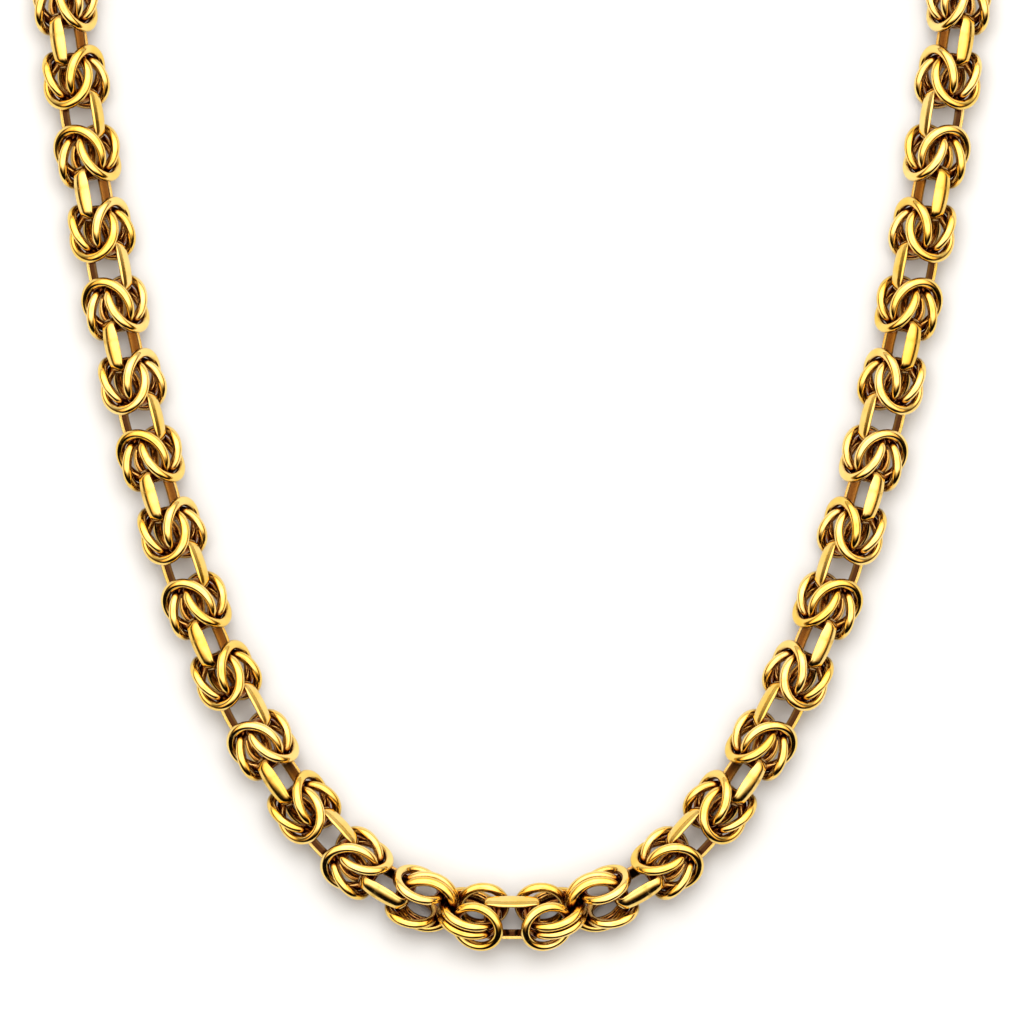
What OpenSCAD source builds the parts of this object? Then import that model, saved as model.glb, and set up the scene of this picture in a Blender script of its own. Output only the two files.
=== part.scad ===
// Aztec link chain: strip links joined by knots of round wire rings, lying in a closed loop.
// Units are mm. +Z is up, the floor is z = 0, and -Y is the loop's lowest point in the photo.

/* [Rings] */
// mean radius of a round ring
ring_r = 3.75; // [3.6:0.01:3.9]
// radius of the ring's wire
wire_r = 0.66; // [0.5:0.01:0.7]
// half distance between two paired rings at their closed end
pinch = 0.73; // [0.6:0.01:0.9]
// half distance between two paired rings at their open end
splay = 3.2; // [2.4:0.05:3.2]
// clear gap between a ring and the end bar that holds it
play = 0.14; // [0.1:0.01:0.3]

/* [Strip links] */
// outer length of a strip link
link_l = 8.5; // [7.8:0.1:9]
// outer width of a strip link
link_w = 6.9; // [6.4:0.1:7.4]
// width of the strip, which is the link's depth
link_d = 2.1; // [2:0.1:2.3]
// thickness of the strip
wall = 0.6; // [0.5:0.05:0.8]
// outer corner radius
corner = 1.6; // [1:0.1:2]

/* [Chain] */
// roll of the whole weave about its own line, degrees
roll = 32; // [20:1:40]
// distance between neighbouring strip links
pitch = 11.58; // [11.4:0.01:11.8]
// distance between neighbouring strip links where the line turns by more than ten degrees
turn_pitch = 11.25; // [11.2:0.01:11.6]
// distance between the centre link and its neighbours
double_pitch = 19.37; // [19.3:0.01:19.45]
// strip links on each side that the photo shows
shown = 13; // [13:1:13]
// strip links on each side beyond the photo
hidden = 8; // [6:1:10]

/* [Double knot] */
// mean radius of the large rings in a double knot
double_r = 4.15; // [4.1:0.01:4.2]
// half distance between two paired rings where the two pairs hang in each other
open_half = 0.8; // [0.7:0.01:1]
// half distance between two folded rings at the end that hangs in the large rings
fold_half = 2.05; // [2.02:0.01:2.08]

/* [Clasp] */
// overall length of the clasp
clasp_l = 20; // [18:0.5:24]
// width of the clasp's box
clasp_w = 7.4; // [7:0.1:8]
// depth of the clasp's box
clasp_d = 3.6; // [3:0.1:4]
// length of the opening in each eye
eye = 3.0; // [2.8:0.1:4]

/* [Hidden] */

// heading of each strip link from the centre outwards, degrees from the X axis
shown_head = [0, 31, 47.5, 56.6, 62, 67.4, 71.8, 74, 76, 77.9, 79.2, 80, 80.8, 81.6];
last = shown + hidden + 1;
half1 = sqrt(pow(ring_r, 2) - pow((splay - pinch) / 2, 2));
half2 = sqrt(pow(double_r, 2) - pow((open_half - pinch) / 2, 2));
// how far inside a strip link's middle the other pair's open end lies
aim = 3.6;
// the folded pairs of a double knot: [reach past the large pair's middle, half distance there,
// distance of the far end from the strip link's middle, its turn in degrees, half distance there]
fold_centre = [1.76, fold_half, 1.7, 19.4, 3.4];
fold_beside = [1.73, fold_half, 1.39, -18, 2.8];

function unit(a) = a / norm(a);
function flip(a) = [-a.x, a.y, a.z];
function dir(h) = [-cos(h), sin(h), 0];

// headings of the hidden stretch turn steadily until the two halves meet
function head(i, p) = i <= shown ? shown_head[i]
    : shown_head[shown] + (180 - shown_head[shown]) * pow((i - shown) / (last - shown), p);
function gap_of(i) = i == 1 ? double_pitch
    : i <= 3 || i > shown ? turn_pitch + (i == last ? (clasp_l - link_l) / 2 : 0)
    : pitch;
function spots(p) = [for (i = 0, q = [0, 0, 0]; i <= last;
    i = i + 1, q = i > last ? q : q + gap_of(i) * dir((head(i, p) + head(i - 1, p)) / 2)) q];
function meet(lo, hi, n) = n == 0 ? (lo + hi) / 2
    : spots((lo + hi) / 2)[last].x > 0 ? meet((lo + hi) / 2, hi, n - 1) : meet(lo, (lo + hi) / 2, n - 1);
bend = meet(0.5, 3, 24);
spot = spots(bend);

// frame of a strip link: [centre, along, width, normal, half length]
function frame(i) = let (h = head(i, bend), t = dir(h), n = [-sin(h), -cos(h), 0],
    va = cos(roll) * [0, 0, 1] + sin(roll) * n, vb = cos(roll) * n - sin(roll) * [0, 0, 1],
    even = i % 2 == 0) [spot[i], t, even ? vb : va, even ? va : vb, i == last ? clasp_l / 2 : link_l / 2];
links = [for (i = [0 : last]) frame(i)];

// a ring from its two ends and a direction in its plane: [centre, along, across, mean radius]
function ring_at(a, b, side) = let (u = unit(b - a), n = unit(cross(u, side)))
    [(a + b) / 2, u, cross(n, u), norm(b - a) / 2];
function square_to(v, ax) = unit(v - (v * ax) * ax);

// centre of a ring that hangs on a link's end bar and is pulled along ax, clear of the bar's inner edges
function hang(k, sg, ax, half) = let (
    bar = k[0] + sg * (k[4] - wall / 2) * k[1],
    e = unit([ax * k[1], ax * k[3]]),
    s = half - wire_r - play,
    far = [for (m = [1, -1]) let (q = [-sg * wall / 2, m * link_d / 2])
        q * e + sqrt(s * s - q * q + pow(q * e, 2))])
    bar + (min(far) - pinch * abs(k[2] * ax)) * ax;

// two pairs of rings between links d and g; pass is the half distance at each pair's open end
function pairs(d, g, e, f, half, pass) = let (
    a = hang(d, 1, e, half),
    b = hang(g, -1, -f, half),
    dv = square_to(d[2], e),
    gv = square_to(g[2], f))
    [for (s = [1, -1]) each [
        ring_at(a - half * e + s * pinch * dv, a + half * e + s * pass * dv, cross(e, dv)),
        ring_at(b - half * f + s * pass * gv, b + half * f + s * pinch * gv, cross(f, gv))]];

function bar_end(k, sg) = k[0] + sg * (k[4] - wall / 2) * k[1];
// a folded knot: each pair's open end lies around the other link
function knot(d, g) = pairs(d, g,
    unit(g[0] - (g[4] - link_l / 2 + aim) * g[1] - bar_end(d, 1)),
    unit(bar_end(g, -1) - d[0] - (d[4] - link_l / 2 + aim) * d[1]), half1, splay);
// a pair that hangs in a double knot's large pair and is folded back over link k
function folded_pair(k, sg, ax, t) = let (
    v = square_to(k[2], ax),
    w = cross(ax, v),
    near = hang(k, sg, ax, half2) + t[0] * ax,
    far = k[0] + t[2] * sg * (cos(t[3]) * k[1] + sin(t[3]) * cross([0, 0, 1], k[1])))
    [for (s = [1, -1]) ring_at(far + s * t[4] * w, near + s * t[1] * w, v)];

// the double knot beside the centre link: its large pairs hang in each other along one line
function double_knot(d, g) = let (e = unit(bar_end(g, -1) - bar_end(d, 1)))
    concat(pairs(d, g, e, e, half2, open_half),
        folded_pair(d, 1, e, fold_centre), folded_pair(g, -1, -e, fold_beside));

left_rings = concat(double_knot(links[0], links[1]),
    [for (i = [1 : last - 1]) each knot(links[i], links[i + 1])]);
rings = concat(left_rings, [for (r = left_rings) [flip(r[0]), flip(r[1]), flip(r[2]), r[3]]]);
bars = concat([for (i = [0 : last - 1]) links[i]],
    [for (i = [1 : last - 1]) let (k = links[i]) [flip(k[0]), flip(k[1]), flip(k[2]), flip(k[3]), k[4]]]);

// exact box around all rings, which are the outermost parts, sets the floor and the origin
function reach(r, k) = let (n = cross(r[1], r[2])) r[3] * sqrt(max(0, 1 - n[k] * n[k])) + wire_r;
y_low = min([for (r = rings) r[0].y - reach(r, 1)]);
y_high = max([for (r = rings) r[0].y + reach(r, 1)]);
z_low = min([for (r = rings) r[0].z - reach(r, 2)]);
home = [0, -(y_low + y_high) / 2, -z_low];

// puts a child's X, Y and Z along u, v and their normal
module place(c, u, v) {
    n = cross(u, v);
    multmatrix([[u.x, v.x, n.x, c.x + home.x], [u.y, v.y, n.y, c.y + home.y],
        [u.z, v.z, n.z, c.z + home.z], [0, 0, 0, 1]]) children();
}

// rounded rectangle with plain facets at its corners
function rounded(l, w, r, n = 5) = [for (q = [0 : 3], k = [0 : n]) let (
    a = 90 * q + 90 * k / n,
    cx = (q == 0 || q == 3 ? 1 : -1) * (l / 2 - r),
    cy = (q < 2 ? 1 : -1) * (w / 2 - r)) [cx + r * cos(a), cy + r * sin(a)]];

module strip_link() {
    linear_extrude(height = link_d, center = true)
        difference() {
            polygon(rounded(link_l, link_w, corner));
            polygon(rounded(link_l - 2 * wall, link_w - 2 * wall, corner - wall));
        }
}

module wire_ring(r) {
    rotate_extrude($fn = 48) translate([r, 0]) circle(r = wire_r, $fn = 16);
}

module ring_links() {
    color("gold") for (r = rings) place(r[0], r[1], r[2]) wire_ring(r[3]);
}

module bar_links() {
    color("goldenrod") for (k = bars) place(k[0], k[1], k[2]) strip_link();
}

module clasp() {
    k = links[last];
    block = clasp_l - 2 * (wall + eye);
    color("gold") place(k[0], k[1], k[2]) {
        difference() {
            union() {
                linear_extrude(height = link_d, center = true) polygon(rounded(clasp_l, link_w, corner));
                linear_extrude(height = clasp_d, center = true) polygon(rounded(block, clasp_w, 1));
            }
            for (s = [-1, 1]) translate([s * (clasp_l / 2 - wall - eye / 2), 0, 0])
                linear_extrude(height = clasp_d + 1, center = true)
                    polygon(rounded(eye, link_w - 2 * wall, corner - wall));
        }
    }
}

ring_links();
bar_links();
clasp();
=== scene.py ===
"""Aztec link chain in polished yellow gold, lying in a loop on a pale surface."""
import math
import random

import bmesh
import bpy
from mathutils import Matrix, Vector


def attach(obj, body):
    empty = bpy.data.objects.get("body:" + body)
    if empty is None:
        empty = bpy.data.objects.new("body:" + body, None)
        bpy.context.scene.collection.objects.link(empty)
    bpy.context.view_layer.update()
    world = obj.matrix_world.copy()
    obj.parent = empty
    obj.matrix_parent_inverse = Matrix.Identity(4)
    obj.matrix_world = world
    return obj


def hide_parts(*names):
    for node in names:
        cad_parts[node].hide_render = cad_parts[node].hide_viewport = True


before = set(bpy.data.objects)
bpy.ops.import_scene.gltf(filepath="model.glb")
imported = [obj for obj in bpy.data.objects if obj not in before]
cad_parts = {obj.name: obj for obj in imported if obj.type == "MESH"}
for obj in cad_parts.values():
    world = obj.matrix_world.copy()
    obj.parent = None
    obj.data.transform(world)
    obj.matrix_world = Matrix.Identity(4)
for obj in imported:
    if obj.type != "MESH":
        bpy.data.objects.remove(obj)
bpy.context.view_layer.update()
MM = 0.001

# sizes in mm, the same named values as the CAD part
RING_R, WIRE_R, PINCH, SPLAY, PLAY = 3.75, 0.66, 0.73, 3.2, 0.14
LINK_L, LINK_W, LINK_D, WALL, CORNER = 8.5, 6.9, 2.1, 0.6, 1.6
ROLL, PITCH, TURN_PITCH, DOUBLE_PITCH, DOUBLE_R = 32, 11.58, 11.25, 19.37, 4.15
SHOWN, HIDDEN, OPEN_HALF, AIM = 13, 8, 0.8, 3.6
CLASP_L, CLASP_W, CLASP_D, EYE = 20, 7.4, 3.6, 3.0
SHOWN_HEAD = [0, 31, 47.5, 56.6, 62, 67.4, 71.8, 74, 76, 77.9, 79.2, 80, 80.8, 81.6]
# a double knot's folded pairs: reach past the large pair's middle, half distance there,
# the far end's distance from the strip link's middle, its turn, and the half distance there
FOLD_CENTRE = (1.76, 2.05, 1.7, 19.4, 3.4)
FOLD_BESIDE = (1.73, 2.05, 1.39, -18, 2.8)
LAST = SHOWN + HIDDEN + 1
HALF1 = math.sqrt(RING_R ** 2 - ((SPLAY - PINCH) / 2) ** 2)
HALF2 = math.sqrt(DOUBLE_R ** 2 - ((OPEN_HALF - PINCH) / 2) ** 2)
UP = Vector((0, 0, 1))

# the looks' own sizes in mm
WIRE_SHOWN = 0.715  # a little thicker than WIRE_R, so that the rings look closer to each other
RING_STEPS, WIRE_STEPS, CORNER_STEPS = 72, 24, 8
RING_SEAM, SEAM_NARROW = 0.22, 0.012  # a ring's solder seam: its half width, and how much the wire narrows
STRIP_SEAM_AT, STRIP_SEAM = 1.1, 0.32  # a strip's seam: its place along the link and its half width
STRAIGHT_STEP = 0.6  # distance between points along a straight side
STRIP_DOME, INNER_EDGE_R, OUTER_EDGE_R = 0.18, 0.36, 0.3
SIDE_BOW, SIDE_BROAD = 0.38, 0.26  # how far a strip's sides bow out, and how much the upper one broadens
BROAD_REACH = 0.45  # the part of a link's length, from its middle, over which the upper side is broader
CENTRE_CORNER = 0.8  # the centre link is squarer than the others
CLASP_EDGE, CLASP_CROWN = 0.9, 0.10  # how far the clasp's edges round in, and how far its lid and base rise
CLASP_TONE, CLASP_OVERLAP = 0.4, 1.0  # the shell's tone, and how far each eye runs into it
# how dark the painted shade on a strip's inner face is, in its upper part and below that, on even links and
# on odd ones
INNER_SHADE_EVEN, INNER_SHADE_ODD, UPPER_FROM = (1.0, 0.62), (0.75, 0.35), -0.2
FRONT_KNOTS = 13  # knots on each side in the front pieces


# ---- the weave's frames, worked out as the CAD part does ----

def rad(a):
    return math.radians(a)


def along(h):
    return Vector((-math.cos(rad(h)), math.sin(rad(h)), 0))


def head(i, p):
    if i <= SHOWN:
        return SHOWN_HEAD[i]
    top = SHOWN_HEAD[SHOWN]
    return top + (180 - top) * ((i - SHOWN) / (LAST - SHOWN)) ** p


def gap_of(i):
    if i == 1:
        return DOUBLE_PITCH
    if i <= 3 or i > SHOWN:
        return TURN_PITCH + ((CLASP_L - LINK_L) / 2 if i == LAST else 0)
    return PITCH


def spots(p):
    q, out = Vector((0, 0, 0)), [Vector((0, 0, 0))]
    for i in range(1, LAST + 1):
        q = q + gap_of(i) * along((head(i, p) + head(i - 1, p)) / 2)
        out.append(q.copy())
    return out


def meet(lo=0.5, hi=3.0):
    """How the hidden stretch has to bend so that the two halves meet."""
    for _ in range(24):
        mid = (lo + hi) / 2
        if spots(mid)[LAST].x > 0:
            lo = mid
        else:
            hi = mid
    return (lo + hi) / 2


BEND = meet()
SPOT = spots(BEND)


def link_frame(i):
    h = head(i, BEND)
    n = Vector((-math.sin(rad(h)), -math.cos(rad(h)), 0))
    va = math.cos(rad(ROLL)) * UP + math.sin(rad(ROLL)) * n
    vb = math.cos(rad(ROLL)) * n - math.sin(rad(ROLL)) * UP
    v, w = (vb, va) if i % 2 == 0 else (va, vb)
    return dict(c=SPOT[i], t=along(h), v=v, w=w, half=(CLASP_L if i == LAST else LINK_L) / 2)


LINKS = [link_frame(i) for i in range(LAST + 1)]


def ring_at(a, b, side):
    """A ring from its two ends and a direction in its plane, as (centre, along, across, mean radius)."""
    u = (b - a).normalized()
    n = u.cross(side).normalized()
    return (a + b) / 2, u, n.cross(u), (b - a).length / 2


def square_to(v, ax):
    return (v - v.dot(ax) * ax).normalized()


def bar_end(k, sg):
    return k["c"] + sg * (k["half"] - WALL / 2) * k["t"]


def hang(k, sg, ax, half):
    """Centre of a ring that hangs on a link's end bar and is pulled along ax."""
    e = Vector((ax.dot(k["t"]), ax.dot(k["w"]))).normalized()
    s = half - WIRE_R - PLAY
    far = []
    for m in (1, -1):
        q = Vector((-sg * WALL / 2, m * LINK_D / 2))
        far.append(q.dot(e) + math.sqrt(s * s - q.dot(q) + q.dot(e) ** 2))
    return bar_end(k, sg) + (min(far) - PINCH * abs(k["v"].dot(ax))) * ax


def pairs(d, g, e, f, half, wide):
    """Two pairs of rings between links d and g."""
    a, b = hang(d, 1, e, half), hang(g, -1, -f, half)
    dv, gv = square_to(d["v"], e), square_to(g["v"], f)
    out = []
    for s in (1, -1):
        out.append(ring_at(a - half * e + s * PINCH * dv, a + half * e + s * wide * dv, e.cross(dv)))
        out.append(ring_at(b - half * f + s * wide * gv, b + half * f + s * PINCH * gv, f.cross(gv)))
    return out


def knot(d, g):
    """A folded knot: each pair's open end lies around the other link."""
    e = g["c"] - (g["half"] - LINK_L / 2 + AIM) * g["t"] - bar_end(d, 1)
    f = bar_end(g, -1) - d["c"] - (d["half"] - LINK_L / 2 + AIM) * d["t"]
    return pairs(d, g, e.normalized(), f.normalized(), HALF1, SPLAY)


def folded_pair(k, sg, ax, t):
    """A pair that hangs in a double knot's large pair and is folded back over link k."""
    past, shut, out, turn, wide = t
    v = square_to(k["v"], ax)
    w = ax.cross(v)
    near = hang(k, sg, ax, HALF2) + past * ax
    far = k["c"] + out * sg * (math.cos(rad(turn)) * k["t"] + math.sin(rad(turn)) * UP.cross(k["t"]))
    return [ring_at(far + s * wide * w, near + s * shut * w, v) for s in (1, -1)]


def double_knot(d, g):
    e = (bar_end(g, -1) - bar_end(d, 1)).normalized()
    return (pairs(d, g, e, e, HALF2, OPEN_HALF) + folded_pair(d, 1, e, FOLD_CENTRE)
            + folded_pair(g, -1, -e, FOLD_BESIDE))


# the left half's rings, each with the number of its knot
LEFT = [(0, r) for r in double_knot(LINKS[0], LINKS[1])]
LEFT += [(i, r) for i in range(1, LAST) for r in knot(LINKS[i], LINKS[i + 1])]


def reach(r, k):
    n = r[1].cross(r[2])
    return r[3] * math.sqrt(max(0, 1 - n[k] ** 2)) + WIRE_R


Y_LOW = min(r[0].y - reach(r, 1) for _, r in LEFT)
Y_HIGH = max(r[0].y + reach(r, 1) for _, r in LEFT)
Z_LOW = min(r[0].z - reach(r, 2) for _, r in LEFT)
HOME = Vector((0, -(Y_LOW + Y_HIGH) / 2, -Z_LOW))


def placed(c, u, v, side=1):
    """The matrix that puts X, Y and Z along u, v and their normal; side -1 is the right half."""
    c, u, v = [Vector((a.x * side, a.y, a.z)) for a in (c, u, v)]
    m = Matrix((u, v, u.cross(v))).transposed().to_4x4()
    m.translation = c + HOME
    return m


# ---- mesh builders ----

def face_out(me):
    """Turns every face outwards."""
    bm = bmesh.new()
    bm.from_mesh(me)
    bmesh.ops.recalc_face_normals(bm, faces=bm.faces)
    bm.to_mesh(me)
    bm.free()


class Bag:
    """Collects a piece's vertices in mm, its faces, and three numbers for each vertex:
    the tone of its gold, how much it is a seam, and how much painted shade it gets on a strip's inner face."""

    def __init__(self):
        self.co, self.faces, self.tone, self.seam, self.deep = [], [], [], [], []

    def grid(self, rows, close=True, tone=0.5, seam=None, deep=None):
        """Joins closed rows of equal length into quads; seam is given by row and deep by column."""
        base, nu, nv = len(self.co), len(rows), len(rows[0])
        for i, row in enumerate(rows):
            self.co += row
            self.tone += [tone] * nv
            self.seam += [seam[i] if seam else 0.0] * nv
            self.deep += deep or [0.0] * nv
        for i in range(nu if close else nu - 1):
            here, there = base + i * nv, base + (i + 1) % nu * nv
            for j in range(nv):
                j2 = (j + 1) % nv
                self.faces.append((here + j, there + j, there + j2, here + j2))

    def piece(self, name, mat, node):
        """Makes the mesh, which replaces a CAD node."""
        me = bpy.data.meshes.new(name)
        me.from_pydata([tuple(c * MM for c in p) for p in self.co], [], self.faces)
        for key, values in (("tone", self.tone), ("seam", self.seam), ("deep", self.deep)):
            a = me.attributes.new(key, "FLOAT", "POINT")
            a.data.foreach_set("value", values)
        me.polygons.foreach_set("use_smooth", [True] * len(me.polygons))
        me.materials.append(mat)
        me.update()
        face_out(me)
        ob = bpy.data.objects.new(name, me)
        bpy.context.scene.collection.objects.link(ob)
        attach(ob, "root")
        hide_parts(node)


def add_ring(bag, r, side, rng):
    """A closed round wire ring with a faint soldered seam."""
    m = placed(*r[:3], side)
    seam_at = rng.uniform(0, 2 * math.pi)
    rows, seam = [], []
    for i in range(RING_STEPS):
        a = 2 * math.pi * i / RING_STEPS
        away = abs((a - seam_at + math.pi) % (2 * math.pi) - math.pi) * r[3]
        s = math.exp(-(away / RING_SEAM) ** 2)
        w = WIRE_SHOWN * (1 - SEAM_NARROW * s)
        row = []
        for j in range(WIRE_STEPS):
            b = 2 * math.pi * j / WIRE_STEPS
            out = r[3] + w * math.cos(b)
            row.append(m @ Vector((out * math.cos(a), out * math.sin(a), w * math.sin(b))))
        rows.append(row)
        seam.append(s)
    bag.grid(rows, tone=rng.random(), seam=seam)


def round_rect(l, w, r):
    """Points of a rounded rectangle, each with its outward direction, in even steps along the sides."""
    corners = []
    for q in range(4):
        cx = (1 if q in (0, 3) else -1) * (l / 2 - r)
        cy = (1 if q < 2 else -1) * (w / 2 - r)
        for k in range(CORNER_STEPS + 1):
            a = rad(90 * q + 90 * k / CORNER_STEPS)
            corners.append((cx + r * math.cos(a), cy + r * math.sin(a), math.cos(a), math.sin(a)))
    full = []
    for k, (x, y, nx, ny) in enumerate(corners):
        x2, y2 = corners[(k + 1) % len(corners)][:2]
        full.append((x, y, nx, ny))
        steps = round(math.hypot(x2 - x, y2 - y) / STRAIGHT_STEP)
        full += [(x + j / steps * (x2 - x), y + j / steps * (y2 - y), nx, ny) for j in range(1, steps)]
    return full


def strip_profile():
    """Closed section of a bent strip, as (outward, across) points: rounded edges and a domed face."""
    h, tip, n = LINK_D / 2, min(OUTER_EDGE_R, WALL - INNER_EDGE_R), 5
    e = INNER_EDGE_R
    quarter = [rad(90 * k / n) for k in range(n + 1)]
    low = [(-WALL + e * (1 - math.cos(a)), h - e + e * math.sin(a)) for a in quarter[1:]]
    top = [(-tip + tip * math.sin(a), h - tip + tip * math.cos(a)) for a in quarter]
    face = [(h - tip) * (1 - k / n) for k in range(1, 2 * n)]
    # along the inner face, round the one edge, over the domed face and back round the other edge
    out = [(-WALL, y) for y in (-h + e, -h / 2, 0, h / 2, h - e)] + low + top
    out += [(STRIP_DOME * (1 - (y / (h - tip)) ** 2), y) for y in face]
    out += [(o, -y) for o, y in reversed(top)] + [(o, -y) for o, y in reversed(low)]
    # the face's top stays on the CAD's outer size
    high = max(o for o, _ in out)
    return [(o - high, y) for o, y in out]


STRIP = strip_profile()
STRIP_INSIDE = min(o for o, _ in STRIP) + 0.02  # a strip's points below this lie on its inner face


def add_strip(bag, m, l, r, rng, bow=SIDE_BOW, dark=INNER_SHADE_EVEN, seam_at=None):
    """A frame bent from strip: the section swept round a rounded rectangle."""
    rows, seam = [], []
    for x, y, nx, ny in round_rect(l, LINK_W, r):
        # the sides bow out, and the upper one is broader halfway along
        mid = max(0.0, 1 - (x / (BROAD_REACH * l)) ** 2)
        y -= bow * (1 - mid) * y / (LINK_W / 2)
        upper = y * m[2][1] > 0
        broad = 1 + SIDE_BROAD * mid if upper else 1
        rows.append([m @ Vector((x + o * nx, y + o * ny, z * broad)) for o, z in STRIP])
        seam.append(1.0 if seam_at is not None and abs(x - seam_at) < STRIP_SEAM and y > 0 else 0.0)
    # painted shade: the inner face is darkest under its upper edge
    up = 1 if m[2][2] > 0 else -1
    shade = [dark[0] if z * up > UPPER_FROM else dark[1] for _, z in STRIP]
    deep = [s if o <= STRIP_INSIDE else 0.0 for s, (o, _) in zip(shade, STRIP)]
    bag.grid(rows, tone=rng.random(), seam=seam, deep=deep)


# ---- materials ----

class Tree:
    """A node tree, built one node at a time."""

    def __init__(self, tree):
        self.tree = tree
        tree.nodes.clear()

    def add(self, kind, sockets, **settings):
        """Adds a node. Each socket gets a constant, or is linked to another node's output."""
        n = self.tree.nodes.new(kind)
        for key, value in settings.items():
            setattr(n, key, value)
        for key, value in sockets.items():
            if isinstance(value, bpy.types.NodeSocket):
                self.tree.links.new(value, n.inputs[key])
            else:
                n.inputs[key].default_value = value
        return n

    def attribute(self, name):
        return self.add("ShaderNodeAttribute", {}, attribute_name=name).outputs["Fac"]

    def noise(self, place, scale, detail):
        return self.add("ShaderNodeTexNoise", {"Vector": place, "Scale": scale, "Detail": detail}).outputs[0]

    def calc(self, operation, *values):
        return self.add("ShaderNodeMath", dict(enumerate(values)), operation=operation).outputs[0]

    def mix(self, a, b, factor, kind="MIX"):
        sockets = {"Factor": factor, "A": a, "B": b}
        return self.add("ShaderNodeMix", sockets, data_type="RGBA", blend_type=kind).outputs["Result"]

    def span(self, value, low, high, to=(0.0, 1.0), shape="SMOOTHSTEP"):
        """Maps low to to[0] and high to to[1]."""
        sockets = {"Value": value, "From Min": low, "From Max": high, "To Min": to[0], "To Max": to[1]}
        return self.add("ShaderNodeMapRange", sockets, interpolation_type=shape).outputs[0]

    def ramp(self, value, stops, shape="LINEAR"):
        """Colours along a value; each stop is (place, colour)."""
        n = self.add("ShaderNodeValToRGB", {0: value})
        n.color_ramp.interpolation = shape
        elements = n.color_ramp.elements
        while len(elements) < len(stops):
            elements.new(0.5)
        for e, (place, colour) in zip(elements, stops):
            e.position, e.color = place, colour
        return n.outputs[0]


RECESS_SHADE = (0.17, 0.02, 0.001, 1)  # painted shade: a deep brown in the recesses between rings and links
INNER_FACE_SHADE = (0.09, 0.017, 0.001, 1)  # painted shade: a darker brown on the strips' inner faces
RECESS_REACH = 0.0045  # in m, how far a neighbour reaches in darkening the gold with painted shade
SHUT, OPEN = 0.32, 0.84  # the share of open surroundings at which the painted shade is full, and at which it leaves plain gold
INNER_SHARE = 0.88  # how much of that painted shade the darkest inner face gets
CLOUDS, POLISH, WAVES = (420, 3), (2600, 4), (750, 2)  # the scale and detail of each noise
WAVE_STRENGTH, WAVE_HEIGHT = 0.12, 0.00006  # the height in m
TONE_SHARE = 0.45  # how much the links differ from each other
SEAM_TINT, SEAM_ROUGH = 0.35, 0.12  # how much a seam darkens the gold and roughens it


def gold_colour(t, place, seam, deep, pale):
    """Faint clouds of two tones, darker at the seams, with brown painted shade in the recesses and on the
    strips' inner faces.
    """
    clouds = t.calc("MULTIPLY_ADD", t.attribute("tone"), TONE_SHARE, t.noise(place, *CLOUDS))
    plain = t.ramp(clouds, [(0.35, deep), (0.95, pale)])
    solder = (deep[0] * 0.8, deep[1] * 0.72, deep[2] * 0.6, 1)
    seamed = t.mix(plain, solder, t.calc("MULTIPLY", seam, SEAM_TINT))
    # painted shade: the gold turns brown where its neighbours close round it
    around = t.add("ShaderNodeAmbientOcclusion", {"Distance": RECESS_REACH}, samples=5)
    recess_shaded = t.mix(RECESS_SHADE, seamed, t.span(around.outputs["AO"], SHUT, OPEN))
    # painted shade on the strips' inner faces, weighted by the deep attribute
    return t.mix(recess_shaded, INNER_FACE_SHADE, t.calc("MULTIPLY", t.attribute("deep"), INNER_SHARE))


def gold(name, deep, pale, rough, seed):
    """Polished gold with soft polish marks; deep and pale are its tones, rough its mean roughness."""
    mat = bpy.data.materials.new(name)
    mat.use_nodes = True
    t = Tree(mat.node_tree)
    where = t.add("ShaderNodeTexCoord", {}).outputs["Object"]
    place = t.add("ShaderNodeMapping", {0: where, "Location": (seed, seed * 0.7, seed * 1.3)}).outputs[0]
    seam = t.attribute("seam")
    polish = t.span(t.noise(place, *POLISH), 0.3, 0.75, (rough * 0.75, rough * 1.45), "LINEAR")
    waves = {"Strength": WAVE_STRENGTH, "Distance": WAVE_HEIGHT, "Height": t.noise(place, *WAVES)}
    shader = t.add("ShaderNodeBsdfPrincipled", {
        "Metallic": 1.0,
        "Base Color": gold_colour(t, place, seam, deep, pale),
        "Roughness": t.calc("MULTIPLY_ADD", seam, SEAM_ROUGH, polish),
        "Normal": t.add("ShaderNodeBump", waves).outputs[0]})
    t.add("ShaderNodeOutputMaterial", {0: shader.outputs[0]})
    return mat


RING_GOLD = gold("ring_gold", (0.84, 0.59, 0.13, 1), (0.93, 0.72, 0.30, 1), 0.10, 3.1)
LINK_GOLD = gold("link_gold", (0.82, 0.58, 0.13, 1), (0.92, 0.71, 0.29, 1), 0.13, 7.7)
CLASP_GOLD = gold("clasp_gold", (0.83, 0.59, 0.13, 1), (0.92, 0.71, 0.29, 1), 0.12, 11.3)


# ---- the chain's pieces ----

def build_rings(rng):
    """All rings, in four stretches so that each piece stays light."""
    for side, end in ((1, "left"), (-1, "right")):
        for stretch, knots in (("front", range(FRONT_KNOTS)), ("back", range(FRONT_KNOTS, LAST))):
            bag = Bag()
            for i, r in LEFT:
                if i in knots:
                    add_ring(bag, r, side, rng)
            bag.piece(f"rings_{stretch}_{end}", RING_GOLD, "ring_links")


def build_strips(rng):
    bag = Bag()
    for i, k in enumerate(LINKS[:LAST]):
        corner, bow = (CORNER, SIDE_BOW) if i else (CENTRE_CORNER, 0.0)
        dark, seam_at = (INNER_SHADE_ODD, STRIP_SEAM_AT) if i % 2 else (INNER_SHADE_EVEN, None)
        for side in (1, -1) if i else (1,):
            add_strip(bag, placed(k["c"], k["t"], k["v"], side), LINK_L, corner, rng, bow, dark, seam_at)
    bag.piece("strip_links", LINK_GOLD, "bar_links")


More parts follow.
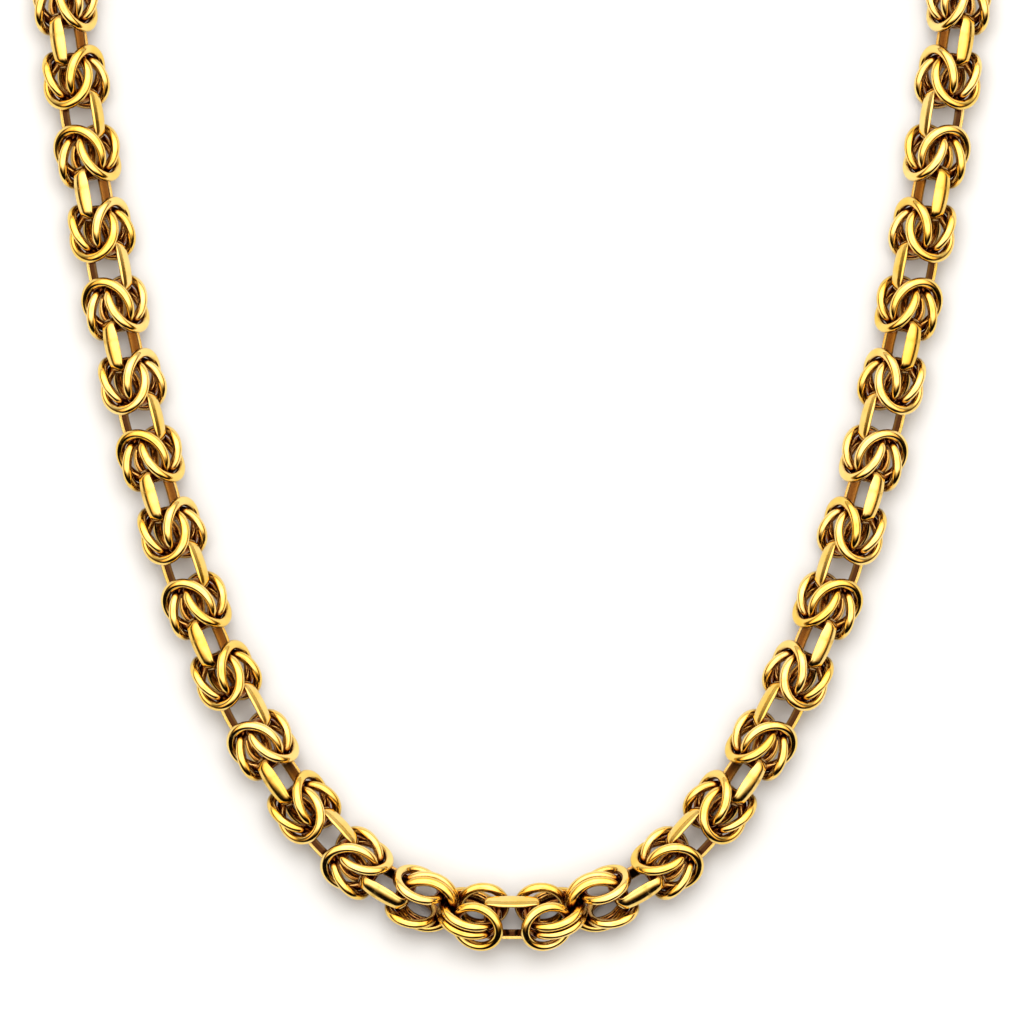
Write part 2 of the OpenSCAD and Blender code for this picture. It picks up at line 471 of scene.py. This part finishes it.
def clasp_shell(bag, m):
    """A rounded box with a fine groove where the lid meets it, and a faintly crowned lid and base."""
    h = CLASP_D / 2
    prof = [(CLASP_EDGE, -h), (0.45, -h + 0.05), (0.14, -h + 0.2), (0.0, -h + 0.5),
            (0.0, 0.25), (0.02, 0.33), (0.14, 0.38), (0.14, 0.44), (0.02, 0.49), (0.0, 0.57),
            (0.0, h - 0.5), (0.14, h - 0.2), (0.45, h - 0.05), (CLASP_EDGE, h)]
    outline = round_rect(CLASP_L - 2 * (WALL + EYE), CLASP_W, 1.0)
    bag.grid([[m @ Vector((x - i * nx, y - i * ny, z)) for x, y, nx, ny in outline] for i, z in prof],
             close=False, tone=CLASP_TONE)
    for sign in (-1, 1):
        rows = []
        for f in (1.0, 0.8, 0.55, 0.3, 0.1):
            z = sign * (h + CLASP_CROWN * (1 - f * f))
            rows.append([m @ Vector((x * f - CLASP_EDGE * nx * f, y * f - CLASP_EDGE * ny * f, z))
                         for x, y, nx, ny in outline])
        bag.grid(rows, close=False, tone=CLASP_TONE)
        ring = range(len(bag.co) - len(outline), len(bag.co))
        bag.faces.append(tuple(ring if sign > 0 else reversed(ring)))


def build_clasp(rng):
    """A box clasp with an eye at each end; each eye is a strip loop that runs into the box."""
    bag = Bag()
    k = LINKS[LAST]
    m = placed(k["c"], k["t"], k["v"])
    loop = EYE + 2 * WALL + CLASP_OVERLAP
    for s in (1, -1):
        add_strip(bag, m @ Matrix.Translation((s * (CLASP_L / 2 - loop / 2), 0, 0)), loop, CORNER, rng)
    clasp_shell(bag, m)
    bag.piece("box_clasp", CLASP_GOLD, "clasp")


# ---- the stage: one plain pale disc, a sky of soft ramps, and a lamp ----

FLOOR_R, FLOOR_SIDES = 3.0, 64
FLOOR_PALE = (0.555, 0.56, 0.565, 1)
LAMP_AT, LAMP_SIZE, LAMP_W = (0, 0.10, 0.45), 0.30, 1.5
# Both ramps run from the horizon up; each stop is (place, brightness, warmth).
# The tent is warm and dim low down, then a broad bright panel, and duller round the camera.
TENT = [(0.0, 0.30, 1), (0.08, 0.10, 1), (0.22, 0.14, 1), (0.34, 1.4, 0.8), (0.55, 1.85, 0.4),
        (0.72, 1.8, 0.1), (0.87, 2.05, 0), (0.96, 1.75, 0), (1.0, 1.25, 0)]
# The near side, -Y, is dark almost halfway up.
NEAR = [(0.0, 0.12, 1), (0.05, 0.01, 1), (0.45, 0.01, 1), (0.58, 0.30, 1), (0.69, 0.9, 0.3),
        (0.80, 1.7, 0), (0.92, 2.7, 0), (0.975, 2.0, 0), (1.0, 1.25, 0)]
NEAR_FROM, NEAR_FULL = -0.32, -0.68  # where along Y the tent turns into the near side
FAR_FULL, FAR_LIGHT = 0.75, 0.7  # where along Y the far side is brightest, and the light it adds there
GAMMA = 0.81  # grades the picture: it deepens the darks


def build_floor():
    me = bpy.data.meshes.new("floor")
    turns = [2 * math.pi * k / FLOOR_SIDES for k in range(FLOOR_SIDES)]
    me.from_pydata([(FLOOR_R * math.cos(a), FLOOR_R * math.sin(a), 0) for a in turns], [],
                   [tuple(range(FLOOR_SIDES))])
    floor = bpy.data.objects.new("floor", me)
    bpy.context.scene.collection.objects.link(floor)
    mat = bpy.data.materials.new("floor_white")
    mat.use_nodes = True
    shader = mat.node_tree.nodes["Principled BSDF"]
    shader.inputs["Base Color"].default_value = FLOOR_PALE
    shader.inputs["Roughness"].default_value = 0.75
    shader.inputs["Specular IOR Level"].default_value = 0.15
    me.materials.append(mat)


def glow(v, warm):
    """Light of brightness v, from white at warm 0 to amber at warm 1."""
    return v, v * (1 - 0.38 * warm), v * (1 - 0.80 * warm), 1


def build_sky():
    world = bpy.data.worlds.new("studio")
    bpy.context.scene.world = world
    world.use_nodes = True
    t = Tree(world.node_tree)
    way = t.add("ShaderNodeSeparateXYZ", {0: t.add("ShaderNodeTexCoord", {}).outputs["Generated"]}).outputs
    tent, near = [t.ramp(way["Z"], [(p, glow(v, warm)) for p, v, warm in stops], "EASE")
                  for stops in (TENT, NEAR)]
    both = t.mix(tent, near, t.span(way["Y"], NEAR_FROM, NEAR_FULL))
    # the far side, +Y, is open and bright
    far = t.span(way["Y"], 0.0, FAR_FULL, (0.0, FAR_LIGHT))
    sky = t.add("ShaderNodeBackground", {"Color": t.mix(both, far, 1.0, "ADD"), "Strength": 1.0})
    t.add("ShaderNodeOutputWorld", {0: sky.outputs[0]})


def build_lamp():
    data = bpy.data.lights.new("overhead", "AREA")
    data.shape = "DISK"
    data.size, data.energy = LAMP_SIZE, LAMP_W
    lamp = bpy.data.objects.new("overhead", data)
    lamp.location = LAMP_AT
    lamp.visible_glossy = False
    bpy.context.scene.collection.objects.link(lamp)


# ---- camera: straight above, framed as the photo ----

PX = 6.67  # pixels of the photo in one mm
PHOTO_SIDE, CENTRE_ROW = 1024, 918  # the photo's side, and the row of the centre link's middle
LENS, SENSOR = 200, 36


def build_camera():
    data = bpy.data.cameras.new("camera")
    data.lens, data.sensor_width = LENS, SENSOR
    data.clip_start, data.clip_end = 0.01, 20
    camera = bpy.data.objects.new("camera", data)
    bpy.context.scene.collection.objects.link(camera)
    width = PHOTO_SIDE / PX * MM
    dist = width / 2 / (SENSOR / 2 / LENS)
    target = (HOME + Vector((0.0, (CENTRE_ROW - PHOTO_SIDE / 2) / PX, 0))) * MM
    camera.location = (target.x, target.y, HOME.z * MM + dist)
    bpy.context.scene.camera = camera


rng = random.Random(4)
build_rings(rng)
build_strips(rng)
build_clasp(rng)
build_floor()
build_sky()
build_lamp()
build_camera()
bpy.context.scene.view_settings.view_transform = "Standard"
bpy.context.scene.view_settings.gamma = GAMMA

bpy.context.view_layer.update()
